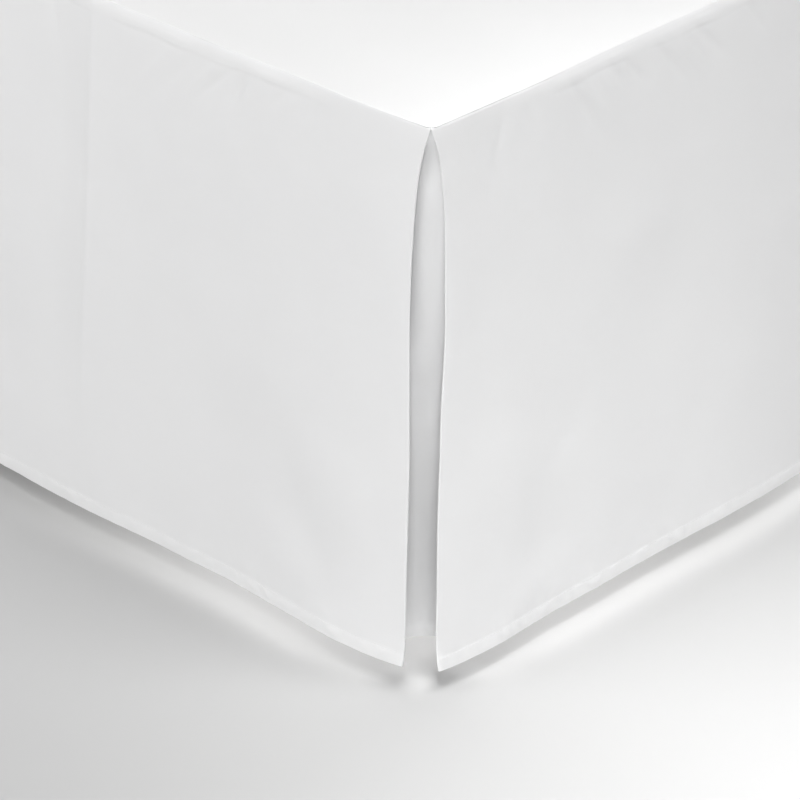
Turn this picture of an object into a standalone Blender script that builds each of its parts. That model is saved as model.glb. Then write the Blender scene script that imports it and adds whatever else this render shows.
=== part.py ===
"""A tailored bed skirt on its bed base.

A flat deck lies on the base, three drops hang from the deck's edge, and each foot corner is an
open pleat: both drops fold back on themselves, and a separate insert hangs behind the slit.
The foot of the bed is at -Y, its head at +Y, and the floor is at Z = 0.
"""
import math

import bmesh
import bpy
from mathutils import Vector

# Driving sizes, in metres
BED_WIDTH = 1.524
BED_LENGTH = 2.032
DECK_TOP = 0.400
DROP = 0.381
CLOTH = 0.0012
HEM_CLOTH = 0.0017
HEM_DEPTH = 0.010
TOUCH_GAP = 0.0003

# The corner pleats: layers one behind the other, centre to centre
LAYER = 0.0023
RETURN_WIDTH = 0.080
INSERT_WIDTH = 0.165
INSERT_DEPTH = 0.0052
DECK_INSET = 0.0010
DECK_CORNER = 0.006

# The base and its legs
BASE_INSET = 0.010
BASE_HEAD_INSET = 0.004
BASE_BOTTOM = 0.200
BASE_CORNER = 0.040
BASE_EDGE = 0.005
LEG_TOP_RADIUS = 0.030
LEG_FOOT_RADIUS = 0.022
LEG_SIDE_INSET = 0.180
LEG_END_INSET = 0.200

SEAM_ROLL = (
    # down from the seam, out from the plane: the rolled seam and the ridge of its allowance
    (0.0015, -0.0009),
    (0.0050, 0.0000),
    (0.0100, 0.0005),
    (0.0150, 0.0000),
)

SLIT = (
    # down, foot drop's fold and side drop's fold as distances from the corner's edge
    (0.000, 0.0012, 0.0046),
    (0.013, 0.0068, 0.0080),
    (0.036, 0.0123, 0.0127),
    (0.068, 0.0159, 0.0154),
    (0.112, 0.0186, 0.0164),
    (0.144, 0.0195, 0.0168),
    (0.186, 0.0198, 0.0147),
    (0.253, 0.0207, 0.0134),
    (0.321, 0.0231, 0.0134),
    (0.370, 0.0250, 0.0146),
    (0.381, 0.0266, 0.0162),
)

INSERT_BENDS = (
    # down, shoulder's distance from the corner, vertex's distance from both planes: the insert
    # wraps the base's corner at the top and is pushed in to a square notch at its hem
    (0.000, 0.022, 0.0052),
    (0.050, 0.044, 0.0052),
    (0.110, 0.050, 0.0070),
    (0.200, 0.050, 0.0140),
    (0.290, 0.048, 0.0300),
    (0.381, 0.046, 0.0450),
)

FOOT_SWELLS = (
    # along from the corner, half width, out at the hem
    (0.012, 0.025, -0.0035),
    (0.080, 0.045, 0.0036),
    (0.186, 0.032, -0.0018),
    (0.248, 0.030, -0.0012),
    (0.330, 0.050, 0.0012),
)

SIDE_SWELLS = (
    # along from the corner, half width, out at the hem
    (0.000, 0.030, -0.0044),
    (0.068, 0.028, 0.0010),
    (0.112, 0.035, -0.0010),
    (0.200, 0.040, -0.0006),
    (0.310, 0.055, 0.0018),
)

LONG_WAVES = (
    # length, height at the hem, phase: the loose hang of the drops away from the foot corners
    (0.430, 0.0020, 0.4),
    (0.270, 0.0012, 1.9),
)
WAVES_START = 0.30
WAVES_FULL = 0.50
SWELL_GROWTH = 1.6
LEFT_CORNER_STRENGTH = 0.8

# Where the cloth is sampled
LEVELS_BETWEEN = (0.045, 0.085, 0.130, 0.175, 0.225, 0.275, 0.325)
NEAR_STEPS = (0.008, 0.022, 0.040, 0.062, 0.085, 0.110, 0.138, 0.168, 0.200, 0.240, 0.280, 0.320)
NEAR_END = NEAR_STEPS[-1]
FAR_STEP = 0.055
RETURN_STEPS = (1.0, 0.75, 0.5, 0.25)
FOLD_STEPS = 5

CLOTH_WHITE = (0.90, 0.90, 0.90)
DECK_WHITE = (0.93, 0.93, 0.93)
BASE_TICKING = (0.80, 0.79, 0.77)
LEG_WOOD = (0.30, 0.20, 0.13)


def clear_scene():
    for item in list(bpy.data.objects):
        bpy.data.objects.remove(item, do_unlink=True)


def finish_of(name, colour, roughness):
    material = bpy.data.materials.new(name)
    material.use_nodes = True
    shader = material.node_tree.nodes["Principled BSDF"]
    shader.inputs["Base Color"].default_value = (*colour, 1.0)
    shader.inputs["Roughness"].default_value = roughness
    shader.inputs["Metallic"].default_value = 0.0
    return material


def add_object(name, shell, material, sharp_angle=40.0):
    """Turns a bmesh into the named object, shaded smooth between its sharp edges."""
    bmesh.ops.recalc_face_normals(shell, faces=shell.faces)
    mesh = bpy.data.meshes.new(name)
    shell.to_mesh(mesh)
    shell.free()
    mesh.shade_smooth()
    mesh.set_sharp_from_angle(angle=math.radians(sharp_angle))
    mesh.materials.append(material)
    item = bpy.data.objects.new(name, mesh)
    bpy.context.scene.collection.objects.link(item)
    return item


def smooth_step(value, start, end):
    share = min(max((value - start) / (end - start), 0.0), 1.0)
    return share * share * (3.0 - 2.0 * share)


def read_table(table, place, column):
    """The column's value at this place, on straight lines between the rows."""
    if place <= table[0][0]:
        return table[0][column]
    for low, high in zip(table, table[1:]):
        if place <= high[0]:
            share = (place - low[0]) / (high[0] - low[0])
            return low[column] + share * (high[column] - low[column])
    return table[-1][column]


def swell(table, along, strength):
    return strength * sum(out * math.exp(-((along - place) / width) ** 2) for place, width, out in table)


def long_waves(along):
    return sum(height * math.sin(math.tau * along / length + phase) for length, height, phase in LONG_WAVES)


def hang_growth(down):
    return (down / DROP) ** SWELL_GROWTH


def foot_hang(x, down):
    """How far the foot drop stands out of its plane."""
    from_right = BED_WIDTH / 2 - x
    from_left = BED_WIDTH / 2 + x
    loose = smooth_step(min(from_right, from_left), WAVES_START, WAVES_FULL)
    at_hem = swell(FOOT_SWELLS, from_right, 1.0)
    at_hem += swell(FOOT_SWELLS, from_left, LEFT_CORNER_STRENGTH)
    at_hem += loose * long_waves(x)
    return at_hem * hang_growth(down) + read_table(SEAM_ROLL, down, 1)


def side_hang(side, along, down):
    """How far a side drop stands out of its plane; side is 1 on the right and -1 on the left."""
    strength = 1.0 if side > 0 else LEFT_CORNER_STRENGTH
    loose = smooth_step(along, WAVES_START, WAVES_FULL)
    at_hem = swell(SIDE_SWELLS, along, strength) + loose * long_waves(along * side)
    return at_hem * hang_growth(down) + read_table(SEAM_ROLL, down, 1)


def closed_sheet(name, rows, thicknesses, material):
    """A cloth solid around rows of centre-line points, top row first, in one direction in plan."""
    shell = bmesh.new()
    layers = ([], [])
    for points, thickness in zip(rows, thicknesses):
        for layer, sign in zip(layers, (0.5, -0.5)):
            layer.append([])
        for index, point in enumerate(points):
            before = points[max(index - 1, 0)]
            after = points[min(index + 1, len(points) - 1)]
            tangent = (after - before).normalized()
            normal = Vector((tangent.y, -tangent.x, 0.0))
            for layer, sign in zip(layers, (0.5, -0.5)):
                layer[-1].append(shell.verts.new(point + normal * thickness * sign))
    last_row = len(rows) - 1
    last_column = len(rows[0]) - 1
    for layer in layers:
        for upper, lower in zip(layer, layer[1:]):
            for column in range(last_column):
                shell.faces.new((upper[column], lower[column], lower[column + 1], upper[column + 1]))
    front, back = layers
    for row in (0, last_row):
        for column in range(last_column):
            shell.faces.new((front[row][column], front[row][column + 1],
                             back[row][column + 1], back[row][column]))
    for column in (0, last_column):
        for row in range(last_row):
            shell.faces.new((front[row][column], back[row][column],
                             back[row + 1][column], front[row + 1][column]))
    return add_object(name, shell, material)


def drop_levels():
    """Distances down from the seam at which the cloth is sampled, the hem's thicker band last."""
    hem_start = DROP - HEM_DEPTH
    rolled = [row[0] for row in SEAM_ROLL]
    return rolled + list(LEVELS_BETWEEN) + [hem_start - 0.0008, hem_start, DROP]


def cloth_at(down):
    return HEM_CLOTH if down >= DROP - HEM_DEPTH else CLOTH


def folded_edge(gap):
    """The pleat's return and fold, from the return's free edge to the fold's front."""
    front = CLOTH / 2
    centre = Vector((gap + LAYER / 2 + CLOTH / 2, front + LAYER / 2))
    points = [Vector((centre.x + RETURN_WIDTH * share, front + LAYER)) for share in RETURN_STEPS]
    for step in range(FOLD_STEPS + 1):
        angle = math.pi / 2 + math.pi * step / FOLD_STEPS
        points.append(centre + Vector((math.cos(angle), math.sin(angle))) * (LAYER / 2))
    return points


def near_corner(gap):
    """The drop's face by the slit, which starts at the fold and meets the even columns beyond."""
    start = gap + LAYER / 2 + CLOTH / 2
    points = []
    for step in NEAR_STEPS:
        points.append(Vector((start * (1.0 - step / NEAR_END) + step, CLOTH / 2)))
    return points


def far_columns(start, end):
    count = max(round((end - start) / FAR_STEP), 1)
    return [start + (end - start) * index / count for index in range(1, count)]


def drop_height(down):
    return DECK_TOP - down


def foot_point(side, along, depth, down):
    x = side * (BED_WIDTH / 2 - along)
    y = -BED_LENGTH / 2 + depth - foot_hang(x, down)
    return Vector((x, y, drop_height(down)))


def side_point(side, along, depth, down):
    x = side * (BED_WIDTH / 2 - depth + side_hang(side, along, down))
    return Vector((x, -BED_LENGTH / 2 + along, drop_height(down)))


def make_foot_drop(material):
    rows = []
    levels = drop_levels()
    for down in levels:
        gap = read_table(SLIT, down, 1)
        profile = folded_edge(gap) + near_corner(gap)
        left = [foot_point(-1, p.x, p.y, down) for p in profile]
        right = [foot_point(1, p.x, p.y, down) for p in profile]
        middle = [foot_point(1, BED_WIDTH - along, CLOTH / 2, down)
                  for along in far_columns(NEAR_END, BED_WIDTH - NEAR_END)]
        rows.append(left + middle + right[::-1])
    return closed_sheet("drop_foot", rows, [cloth_at(down) for down in levels], material)


def make_side_drop(name, side, material):
    rows = []
    levels = drop_levels()
    for down in levels:
        gap = read_table(SLIT, down, 2)
        profile = folded_edge(gap) + near_corner(gap)
        row = [side_point(side, p.x, p.y, down) for p in profile]
        row += [side_point(side, along, CLOTH / 2, down)
                for along in far_columns(NEAR_END, BED_LENGTH)]
        row.append(side_point(side, BED_LENGTH, CLOTH / 2, down))
        rows.append(row if side > 0 else row[::-1])
    return closed_sheet(name, rows, [cloth_at(down) for down in levels], material)


def cut_corners(points):
    """One round of corner cutting, which keeps both ends."""
    smoother = [points[0]]
    for start, end in zip(points, points[1:]):
        smoother.append(start.lerp(end, 0.25))
        smoother.append(start.lerp(end, 0.75))
    smoother[1] = points[0].lerp(points[1], 0.5)
    smoother[-1] = points[-1]
    return smoother


def insert_path(down):
    """The insert's line in plan, as distances in from the side's plane and from the foot's plane."""
    shoulder = read_table(INSERT_BENDS, down, 1)
    vertex = read_table(INSERT_BENDS, down, 2)
    straight = shoulder + 0.015
    half = [Vector((straight, INSERT_DEPTH)), Vector((shoulder, INSERT_DEPTH))]
    path = half + [Vector((vertex, vertex))] + [point.yx for point in reversed(half)]
    for _ in range(3):
        path = cut_corners(path)
    length = sum((end - start).length for start, end in zip(path, path[1:]))
    leg = Vector(((INSERT_WIDTH - length) / 2, 0.0))
    return [path[0] + leg, path[0] + leg / 2] + path + [path[-1] + leg.yx / 2, path[-1] + leg.yx]


def make_insert(name, side, material):
    rows = []
    levels = drop_levels()
    for down in levels:
        row = []
        for point in insert_path(down):
            by_foot = 1.0 - smooth_step(point.y, 0.008, 0.030)
            by_side = 1.0 - smooth_step(point.x, 0.008, 0.030)
            x = side * (BED_WIDTH / 2 - point.x + by_side * side_hang(side, point.y, down))
            y = -BED_LENGTH / 2 + point.y - by_foot * foot_hang(x, down)
            row.append(Vector((x, y, drop_height(down))))
        rows.append(row if side > 0 else row[::-1])
    return closed_sheet(name, rows, [cloth_at(down) for down in levels], material)


def rounded_outline(low, high, radius, steps):
    """The corners of a rectangle, each turned on an arc, counter-clockwise seen from above."""
    points = []
    centres = ((high.x - radius, high.y - radius), (low.x + radius, high.y - radius),
               (low.x + radius, low.y + radius), (high.x - radius, low.y + radius))
    for quarter, (x, y) in enumerate(centres):
        for step in range(steps + 1):
            angle = (quarter + step / steps) * math.pi / 2
            points.append(Vector((x + radius * math.cos(angle), y + radius * math.sin(angle))))
    return points


def make_slab(name, low, high, radius, steps, material, edge=0.0):
    """A rectangular slab with rounded corners, and rounded edges where an edge radius is given."""
    shell = bmesh.new()
    outline = rounded_outline(low, high, radius, steps)
    bottom = shell.faces.new([shell.verts.new((p.x, p.y, low.z)) for p in outline])
    raised = bmesh.ops.extrude_face_region(shell, geom=[bottom])
    top = [item for item in raised["geom"] if isinstance(item, bmesh.types.BMVert)]
    bmesh.ops.translate(shell, verts=top, vec=(0.0, 0.0, high.z - low.z))
    if edge:
        rims = [rim for rim in shell.edges if abs(rim.verts[0].co.z - rim.verts[1].co.z) < edge / 2]
        bmesh.ops.bevel(shell, geom=rims, offset=edge, segments=2, profile=0.5, affect="EDGES")
    return add_object(name, shell, material)


def make_deck(material):
    reach = Vector((BED_WIDTH / 2 - DECK_INSET, BED_LENGTH / 2 - DECK_INSET, 0.0))
    low = Vector((-reach.x, -reach.y, DECK_TOP - CLOTH))
    high = Vector((reach.x, reach.y, DECK_TOP))
    return make_slab("deck", low, high, DECK_CORNER, 4, material)


def make_base(material):
    half_width = BED_WIDTH / 2 - BASE_INSET
    low = Vector((-half_width, -BED_LENGTH / 2 + BASE_INSET, BASE_BOTTOM))
    high = Vector((half_width, BED_LENGTH / 2 - BASE_HEAD_INSET, DECK_TOP - CLOTH - TOUCH_GAP))
    return make_slab("base", low, high, BASE_CORNER, 6, material, edge=BASE_EDGE)


def make_leg(name, x, y, material):
    """A turned leg that tapers to its foot."""
    shell = bmesh.new()
    height = BASE_BOTTOM - TOUCH_GAP
    bmesh.ops.create_cone(shell, cap_ends=True, segments=20, radius1=LEG_FOOT_RADIUS,
                          radius2=LEG_TOP_RADIUS, depth=height)
    leg = add_object(name, shell, material)
    leg.location = (x, y, height / 2)
    return leg


def make_legs(material):
    half_width = BED_WIDTH / 2 - LEG_SIDE_INSET
    half_length = BED_LENGTH / 2 - LEG_END_INSET
    for side, x in (("left", -half_width), ("right", half_width)):
        for place, y in (("foot", -half_length), ("middle", 0.0), ("head", half_length)):
            make_leg(f"leg_{side}_{place}", x, y, material)


def make_bed_skirt():
    clear_scene()
    cloth = finish_of("drop_cloth", CLOTH_WHITE, 0.85)
    make_deck(finish_of("deck_cloth", DECK_WHITE, 0.85))
    make_foot_drop(cloth)
    for side_name, side in (("left", -1), ("right", 1)):
        make_side_drop(f"drop_{side_name}", side, cloth)
        make_insert(f"insert_{side_name}", side, cloth)
    make_base(finish_of("base_ticking", BASE_TICKING, 0.9))
    make_legs(finish_of("leg_wood", LEG_WOOD, 0.5))


make_bed_skirt()
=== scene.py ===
"""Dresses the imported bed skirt: fine cloth sheets on the solids' folds, with their seams, hems,
stitches and creases, then the finishes, the floor, the lights and the camera.

Lengths are metres. Along runs from a foot corner along the bed's edge, down runs from the deck's
seam to the hem, out is away from the bed, and depth is inwards from the drop's plane.
"""
import math

import bpy
import numpy as np
from mathutils import Matrix


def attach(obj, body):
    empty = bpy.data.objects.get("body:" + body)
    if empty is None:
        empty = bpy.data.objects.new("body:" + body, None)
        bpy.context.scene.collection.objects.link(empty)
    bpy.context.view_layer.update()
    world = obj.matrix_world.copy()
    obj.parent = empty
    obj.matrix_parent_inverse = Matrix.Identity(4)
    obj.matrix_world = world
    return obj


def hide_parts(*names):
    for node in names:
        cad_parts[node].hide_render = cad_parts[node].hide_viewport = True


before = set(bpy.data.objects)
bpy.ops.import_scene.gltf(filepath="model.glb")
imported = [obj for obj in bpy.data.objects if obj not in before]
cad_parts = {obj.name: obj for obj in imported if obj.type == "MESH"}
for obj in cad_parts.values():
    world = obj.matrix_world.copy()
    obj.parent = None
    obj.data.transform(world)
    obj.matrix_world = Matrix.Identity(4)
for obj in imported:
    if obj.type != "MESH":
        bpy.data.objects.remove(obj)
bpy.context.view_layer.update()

# Driving sizes, as in the solids
BED_WIDTH = 1.524
BED_LENGTH = 2.032
DECK_TOP = 0.400
DROP = 0.381
HEM_DEPTH = 0.010
RETURN_WIDTH = 0.080
INSERT_WIDTH = 0.165
HEM_LINE = DROP - HEM_DEPTH
HEAD_GAP = 0.001
HALF_WIDTH = BED_WIDTH / 2
HALF_LENGTH = BED_LENGTH / 2

# The cloth, how far a fold's two layers lie apart, the seam and the stitches
CLOTH = 0.0004
HEM_CLOTH = 0.0008
FOLD_LAYER = 0.0010
FOLD_LAYER_TOP = 0.0006
FOLD_OPENED = 0.030
SEAM_DOWN = 0.0010
ALLOWANCE = 0.0103
STITCH_LENGTH = 0.0023
STITCH_PITCH = 0.0031
STITCH_RADIUS = 0.00011
STITCH_UNDER = 0.0004
FOOT_STITCHES_IN = 0.027
SIDE_STITCHES_IN = 0.015
HEAD_STITCHES_IN = 0.006

SLIT = (
    # down, foot drop's fold and side drop's fold as distances from the corner's edge
    (0.000, 0.0020, 0.0022),
    (0.005, 0.0030, 0.0033),
    (0.013, 0.0056, 0.0063),
    (0.024, 0.0085, 0.0093),
    (0.036, 0.0109, 0.0113),
    (0.057, 0.0135, 0.0135),
    (0.079, 0.0153, 0.0144),
    (0.112, 0.0172, 0.0150),
    (0.144, 0.0181, 0.0154),
    (0.165, 0.0182, 0.0144),
    (0.186, 0.0184, 0.0133),
    (0.230, 0.0186, 0.0125),
    (0.275, 0.0202, 0.0116),
    (0.321, 0.0217, 0.0120),
    (0.367, 0.0234, 0.0128),
    (0.376, 0.0243, 0.0138),
    (0.381, 0.0252, 0.0146),
)

INSERT_BENDS = (
    # down, depth behind the foot drop and behind the side drop, shoulder's distance from the
    # corner, and how much deeper the bend between the shoulders lies
    (0.000, 0.0011, 0.0011, 0.014, 0.0000),
    (0.010, 0.0012, 0.0012, 0.018, 0.0000),
    (0.016, 0.0036, 0.0014, 0.022, 0.0000),
    (0.050, 0.0048, 0.0016, 0.028, 0.0000),
    (0.110, 0.0054, 0.0018, 0.036, 0.0010),
    (0.142, 0.0052, 0.0020, 0.040, 0.0030),
    (0.160, 0.0036, 0.0022, 0.044, 0.0050),
    (0.200, 0.0036, 0.0028, 0.050, 0.0100),
    (0.290, 0.0044, 0.0042, 0.054, 0.0250),
    (0.381, 0.0052, 0.0050, 0.055, 0.0384),
)

# How near a drop's plane the insert follows that drop's folds, fully and not at all
FOLLOWS_DROP = (0.008, 0.030)

FOOT_SWELLS = (
    # along from the corner, half width, out at the hem
    (0.012, 0.025, -0.0035),
    (0.080, 0.045, 0.0036),
    (0.186, 0.032, -0.0018),
    (0.248, 0.030, -0.0012),
    (0.330, 0.050, 0.0012),
)
SIDE_SWELLS = (
    (0.000, 0.030, -0.0044),
    (0.068, 0.028, 0.0010),
    (0.112, 0.035, -0.0010),
    (0.200, 0.040, -0.0006),
    (0.310, 0.055, 0.0018),
)
LONG_WAVES = (
    # length, height at the hem, phase
    (0.430, 0.0020, 0.4),
    (0.270, 0.0012, 1.9),
)
# Along from a corner, where the long waves start and reach their full height
WAVES_START = 0.30
WAVES_FULL = 0.50
SWELL_GROWTH = 1.6
LEFT_CORNER_STRENGTH = 0.8

SEAM_WANDER = (
    # along from the corner, foot seam's and side seam's place out from their planes
    (0.000, -0.0024, -0.0010),
    (0.013, -0.0014, -0.0003),
    (0.025, -0.0004, 0.0000),
    (0.056, 0.0009, 0.0004),
    (0.096, 0.0002, 0.0008),
    (0.150, 0.0007, -0.0004),
    (0.225, 0.0006, -0.0009),
    (0.300, 0.0001, -0.0001),
    (0.420, 0.0000, 0.0000),
)
SEAM_WANDER_DEPTH = 0.120

# The drop's top edge: tucked under the deck's rim, then curled and rolled out
SEAM_TUCK = 0.0004
SEAM_CURL = 0.0006
SEAM_CURL_DEPTH = 0.0005
SEAM_ROLL_DEPTH = 0.0042
SEAM_ROLL = (
    # along from the corner, how far the drop rolls out under the seam
    (0.000, 0.0003),
    (0.060, 0.0004),
    (0.110, 0.0014),
    (0.160, 0.0017),
    (0.300, 0.0017),
    (0.420, 0.0015),
)

SEAM_GROOVE = (
    # along from the corner, how open the seam's groove is in the foot seam and in the side seam
    (0.000, 1.00, 1.00),
    (0.012, 0.90, 1.00),
    (0.030, 0.25, 1.00),
    (0.085, 0.10, 0.95),
    (0.110, 0.10, 0.35),
    (0.150, 0.10, 0.12),
    (0.420, 0.10, 0.10),
)
SEAM_LIFT = 0.0007
SEAM_LIFT_DEPTH = 0.0008

DECK_RIM = (
    # inset from the drops' planes, height under the deck's top: the rim turned down to the seam
    (0.0010, 0.00115),
    (0.0005, 0.00100),
    (0.0001, 0.00075),
    (0.0000, 0.00048),
    (0.0002, 0.00024),
    (0.0006, 0.00007),
    (0.0013, 0.00000),
)
DECK_CORNER = 0.0055
DECK_FACE = DECK_TOP - 0.0001

# How far a drop springs out by its fold, and how soon that dies away
FOLD_EASE = 0.0005
FOLD_EASE_WIDTH = 0.0050

FOOT_DRAGS = (
    # from along and down, to along and down, half width, out: small drag folds under the seam
    (0.166, 0.014, 0.190, 0.036, 0.0026, -0.00110),
    (0.178, 0.014, 0.206, 0.045, 0.0030, 0.00077),
    (0.152, 0.014, 0.163, 0.034, 0.0022, -0.00121),
    (0.146, 0.014, 0.158, 0.036, 0.0022, 0.00099),
    (0.200, 0.016, 0.228, 0.044, 0.0034, -0.00077),
    (0.216, 0.014, 0.250, 0.050, 0.0036, 0.00066),
    (0.118, 0.012, 0.128, 0.024, 0.0020, -0.00088),
    (0.108, 0.013, 0.114, 0.022, 0.0018, 0.00066),
    (0.090, 0.012, 0.098, 0.022, 0.0020, -0.00066),
    (0.070, 0.013, 0.075, 0.024, 0.0020, -0.00066),
)
SIDE_DRAGS = (
    (0.122, 0.012, 0.150, 0.052, 0.0030, -0.00110),
    (0.132, 0.012, 0.158, 0.046, 0.0030, 0.00077),
    (0.160, 0.012, 0.174, 0.030, 0.0024, -0.00110),
    (0.150, 0.012, 0.163, 0.030, 0.0024, 0.00088),
    (0.172, 0.012, 0.192, 0.032, 0.0026, -0.00099),
    (0.204, 0.014, 0.232, 0.044, 0.0036, -0.00088),
    (0.222, 0.014, 0.252, 0.046, 0.0036, 0.00066),
    (0.240, 0.012, 0.270, 0.040, 0.0034, -0.00077),
    (0.060, 0.012, 0.058, 0.050, 0.0040, -0.00066),
    (0.085, 0.012, 0.092, 0.026, 0.0020, -0.00055),
)

FOOT_PATCHES = (
    # along, down, half width along, half height, out: soft hollows and swellings
    (0.080, 0.265, 0.030, 0.030, 0.0013),
    (0.078, 0.335, 0.028, 0.024, -0.0012),
    (0.130, 0.215, 0.030, 0.034, 0.0010),
    (0.122, 0.300, 0.024, 0.024, -0.0010),
    (0.118, 0.345, 0.024, 0.018, 0.0009),
    (0.205, 0.180, 0.034, 0.030, 0.0007),
    (0.195, 0.262, 0.036, 0.030, -0.0007),
    (0.046, 0.300, 0.018, 0.050, -0.0008),
)
SIDE_PATCHES = (
    (0.085, 0.262, 0.024, 0.028, 0.0011),
    (0.104, 0.325, 0.024, 0.022, -0.0012),
    (0.130, 0.240, 0.024, 0.026, -0.0005),
    (0.066, 0.240, 0.016, 0.034, 0.0009),
    (0.058, 0.310, 0.016, 0.036, -0.0008),
    (0.190, 0.130, 0.034, 0.030, 0.0009),
    (0.225, 0.190, 0.030, 0.032, -0.0008),
    (0.095, 0.356, 0.026, 0.016, 0.0008),
)

# The upright packing crease, the seam allowance's ridge, the hem band's puckers and the deck's ripples
PACKING_CREASE = 0.287
CREASE_LEAN = 0.0355
CREASE_WIDTH = 0.0022
CREASE_OUT = 0.00060
CREASE_TURN = 0.0026
CREASE_ENDS = (0.250, 0.360)

RIDGE_HEIGHT = 0.00030
RIDGE_GROOVE = 0.00016
RIDGE_EDGE = 0.0012

HEM_PROUD = 0.00007
HEM_GROOVE = 0.00004
HEM_LINE_WIDTH = 0.0016
PUCKER_HEIGHTS = (0.00022, 0.00085)
PUCKER_WIDTHS = (0.0024, 0.0056)
PUCKER_STEPS = (0.007, 0.019)

DECK_RIPPLE = 0.00013
DECK_UNEVEN = 0.00022

# Where the drawn folds by a corner end and the scattered ones start, along and down
SCATTER_START = 0.290
DRAGS_START = 0.012

UNEVEN_WAVES = 14
SHARP_ANGLE = math.radians(50.0)
CLOTH_SEED = 11

# Finishes
DROP_WHITE = (0.800, 0.800, 0.802)
DROP_SHADE = (0.785, 0.785, 0.788)
DROP_THREAD_SHADE = (0.740, 0.740, 0.745)
DROP_DOUBLE = (0.860, 0.860, 0.860)
DECK_WHITE = (0.850, 0.850, 0.850)
DECK_SHADE = (0.838, 0.838, 0.838)
# Painted shade for the inserts high in the pleat, mixed into their colour
PAINTED_INSERT_SHADE = (0.60, 0.60, 0.606)
# Painted shade in the deck's seam groove, mixed into the deck's colour
PAINTED_SEAM_SHADE = (0.420, 0.420, 0.425)
FLOOR_WHITE = (0.52, 0.52, 0.52)
FLOOR_SHADE = (0.5148, 0.5148, 0.5148)


def smooth_read(table, column, places):
    """The table's column at these places, on a smooth curve through its rows."""
    at = np.array([row[0] for row in table])
    value = np.array([row[column] for row in table])
    slope = np.gradient(value, at)
    inside = np.clip(places, at[0], at[-1])
    index = np.clip(np.searchsorted(at, inside) - 1, 0, len(at) - 2)
    span = at[index + 1] - at[index]
    share = (inside - at[index]) / span
    low, high = value[index], value[index + 1]
    pull_low, pull_high = slope[index] * span, slope[index + 1] * span
    rest = 1 - share
    return (low * (1 + 2 * share) * rest ** 2 + pull_low * share * rest ** 2
            + high * share ** 2 * (3 - 2 * share) - pull_high * share ** 2 * rest)


def smooth_step(value, start, end):
    share = np.clip((value - start) / (end - start), 0.0, 1.0)
    return share * share * (3.0 - 2.0 * share)


def bell(distance, width):
    return np.exp(-(distance / width) ** 2)


def graded(start, *stretches):
    """Places from start on, where each stretch is its end and its step."""
    places = [np.array([start])]
    for end, step in stretches:
        first = places[-1][-1]
        count = max(round((end - first) / step), 1)
        places.append(np.linspace(first, end, count + 1)[1:])
    return np.concatenate(places)


DOWNS = graded(SEAM_DOWN, (0.0026, 0.0004), (0.018, 0.0009), (0.045, 0.0020), (0.355, 0.0046),
               (DROP, 0.0011))
NEAR_STEPS = graded(0.0015, (0.030, 0.0020), (0.330, 0.0030), (0.420, 0.0060))
NEAR_END = NEAR_STEPS[-1]
FAR_STEP = 0.014
INSERT_COLUMNS = 111


def swells(table, along, strength):
    return strength * sum(out * bell(along - place, width) for place, width, out in table)


def long_waves(along):
    return sum(height * np.sin(math.tau * along / length + phase)
               for length, height, phase in LONG_WAVES)


def hang_growth(down):
    return (down / DROP) ** SWELL_GROWTH


def seam_roll(along, down):
    """The drop's top rolls out from the seam: a tight curl, and a wider one away from the corner."""
    under = down - SEAM_DOWN
    curl = SEAM_CURL * (1.0 - np.exp(-under / SEAM_CURL_DEPTH)) - SEAM_TUCK
    roll = smooth_read(SEAM_ROLL, 1, along) * (1.0 - np.exp(-under / SEAM_ROLL_DEPTH))
    return (curl + roll) * (1.0 - smooth_step(down, 0.02, DROP))


def seam_lift(along, down, column):
    """How much higher the cloth by the seam lies where the groove is closed."""
    closed = 1.0 - smooth_read(SEAM_GROOVE, column, along)
    return SEAM_LIFT * closed * np.exp(-(down - SEAM_DOWN) / SEAM_LIFT_DEPTH)


def foot_hang(x, down):
    from_right = HALF_WIDTH - x
    from_left = HALF_WIDTH + x
    nearer = np.minimum(from_right, from_left)
    at_hem = swells(FOOT_SWELLS, from_right, 1.0)
    at_hem = at_hem + swells(FOOT_SWELLS, from_left, LEFT_CORNER_STRENGTH)
    at_hem = at_hem + smooth_step(nearer, WAVES_START, WAVES_FULL) * long_waves(x)
    wander = smooth_read(SEAM_WANDER, 1, nearer) * np.exp(-down / SEAM_WANDER_DEPTH)
    return at_hem * hang_growth(down) + wander + seam_roll(nearer, down)


def side_hang(side, along, down):
    strength = 1.0 if side > 0 else LEFT_CORNER_STRENGTH
    at_hem = swells(SIDE_SWELLS, along, strength)
    at_hem = at_hem + smooth_step(along, WAVES_START, WAVES_FULL) * long_waves(along * side)
    wander = smooth_read(SEAM_WANDER, 2, along) * np.exp(-down / SEAM_WANDER_DEPTH)
    return at_hem * hang_growth(down) + wander + seam_roll(along, down)


def drag_folds(table, along, down):
    """Short soft folds, each a bell across its line that dies away at both ends."""
    relief = np.zeros_like(along)
    for from_along, from_down, to_along, to_down, width, out in table:
        run = np.array([to_along - from_along, to_down - from_down])
        length = np.hypot(*run)
        run = run / length
        lengthwise = (along - from_along) * run[0] + (down - from_down) * run[1]
        across = (along - from_along) * run[1] - (down - from_down) * run[0]
        ridge = bell(across, width) * bell(lengthwise - length / 2, length / 2)
        relief += out * ridge
    return relief


def scattered_drags(seed, start, end):
    """Drag folds under the seam on the stretch that the tables leave out, with the same slant."""
    dice = np.random.default_rng(seed)
    table = []
    place = start
    while place < end:
        slant = dice.uniform(0.2, 1.0)
        reach = dice.uniform(0.010, 0.034)
        out = dice.uniform(0.000396, 0.00099) * dice.choice((-1, 1))
        width = dice.uniform(0.002, 0.0038)
        table.append((place, DRAGS_START, place + slant * reach, DRAGS_START + reach, width, out))
        place += dice.uniform(0.010, 0.048)
    return table


def soft_patches(table, along, down):
    relief = np.zeros_like(along)
    for place, level, width, height, out in table:
        relief += out * bell(along - place, width) * bell(down - level, height)
    return relief


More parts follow.
